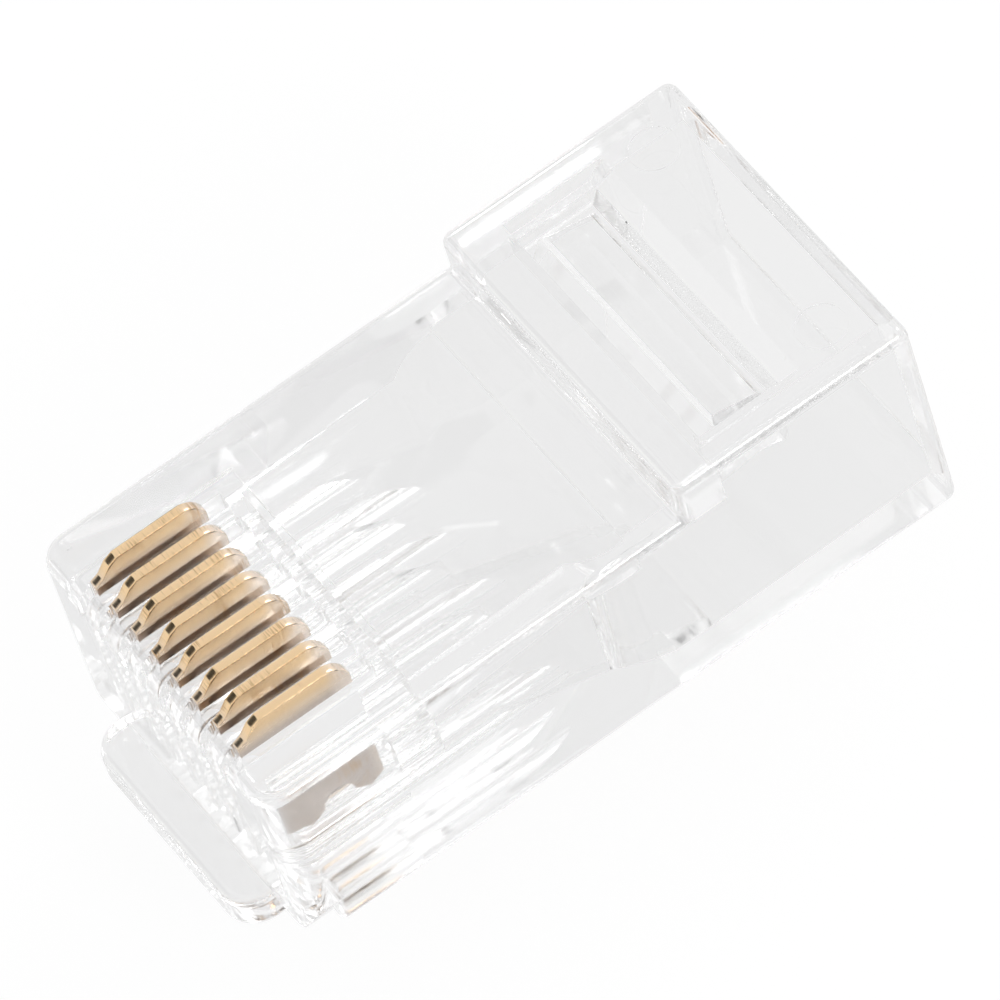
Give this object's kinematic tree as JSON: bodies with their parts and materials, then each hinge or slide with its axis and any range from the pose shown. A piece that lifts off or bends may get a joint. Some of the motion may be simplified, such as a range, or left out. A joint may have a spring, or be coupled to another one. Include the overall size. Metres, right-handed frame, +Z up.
{
  "type": "rj45 modular plug",
  "caption": "Clear modular plug for round cable, with gold blades standing proud before crimping, a strain relief bar and a sprung latch under the nose.",
  "frame": {"origin": "middle of the lower edge of the nose face, the corner from which a jack locates the plug", "axes": "+X forward out of the nose (the way the plug goes into a jack), +Y across the plug on the side of contact_1, +Z up out of the contact side"},
  "size_m": [0.0233, 0.0116, 0.0125],
  "materials": {
    "clear_plastic": "clear polycarbonate, polished mould finish",
    "gold_plate": "thin gold plating over nickel on a phosphor bronze stamping"
  },
  "bodies": {
    "shell": {"housing": "clear_plastic"},
    "latch": {"latch": "clear_plastic"},
    "bar": {"strain_relief_bar": "clear_plastic"},
    "contact_1": {"contact_1": "gold_plate"},
    "contact_2": {"contact_2": "gold_plate"},
    "contact_3": {"contact_3": "gold_plate"},
    "contact_4": {"contact_4": "gold_plate"},
    "contact_5": {"contact_5": "gold_plate"},
    "contact_6": {"contact_6": "gold_plate"},
    "contact_7": {"contact_7": "gold_plate"},
    "contact_8": {"contact_8": "gold_plate"}
  },
  "joints": [
    {"name": "latch_press", "type": "hinge", "parent": "shell", "child": "latch", "pos_m": [-0.0016, 0, -0.0005], "axis": [0, 1, 0], "range_deg": [0, 12], "stiffness_Nm_per_rad": 0.2},
    {"name": "strain_relief_crimp", "type": "hinge", "parent": "shell", "child": "bar", "pos_m": [-0.01589, 0, 0.0062], "axis": [0, -1, 0], "range_deg": [0, 27]},
    {"name": "contact_1_crimp", "type": "slide", "parent": "shell", "child": "contact_1", "axis": [0, 0, -1], "range_m": [0, 0.00138]},
    {"name": "contact_2_crimp", "type": "slide", "parent": "shell", "child": "contact_2", "axis": [0, 0, -1], "range_m": [0, 0.00138]},
    {"name": "contact_3_crimp", "type": "slide", "parent": "shell", "child": "contact_3", "axis": [0, 0, -1], "range_m": [0, 0.00138]},
    {"name": "contact_4_crimp", "type": "slide", "parent": "shell", "child": "contact_4", "axis": [0, 0, -1], "range_m": [0, 0.00138]},
    {"name": "contact_5_crimp", "type": "slide", "parent": "shell", "child": "contact_5", "axis": [0, 0, -1], "range_m": [0, 0.00138]},
    {"name": "contact_6_crimp", "type": "slide", "parent": "shell", "child": "contact_6", "axis": [0, 0, -1], "range_m": [0, 0.00138]},
    {"name": "contact_7_crimp", "type": "slide", "parent": "shell", "child": "contact_7", "axis": [0, 0, -1], "range_m": [0, 0.00138]},
    {"name": "contact_8_crimp", "type": "slide", "parent": "shell", "child": "contact_8", "axis": [0, 0, -1], "range_m": [0, 0.00138]}
  ],
  "couplings": [
    {"joint": "contact_2_crimp", "follows": "contact_1_crimp", "ratio": 1},
    {"joint": "contact_3_crimp", "follows": "contact_1_crimp", "ratio": 1},
    {"joint": "contact_4_crimp", "follows": "contact_1_crimp", "ratio": 1},
    {"joint": "contact_5_crimp", "follows": "contact_1_crimp", "ratio": 1},
    {"joint": "contact_6_crimp", "follows": "contact_1_crimp", "ratio": 1},
    {"joint": "contact_7_crimp", "follows": "contact_1_crimp", "ratio": 1},
    {"joint": "contact_8_crimp", "follows": "contact_1_crimp", "ratio": 1}
  ]
}
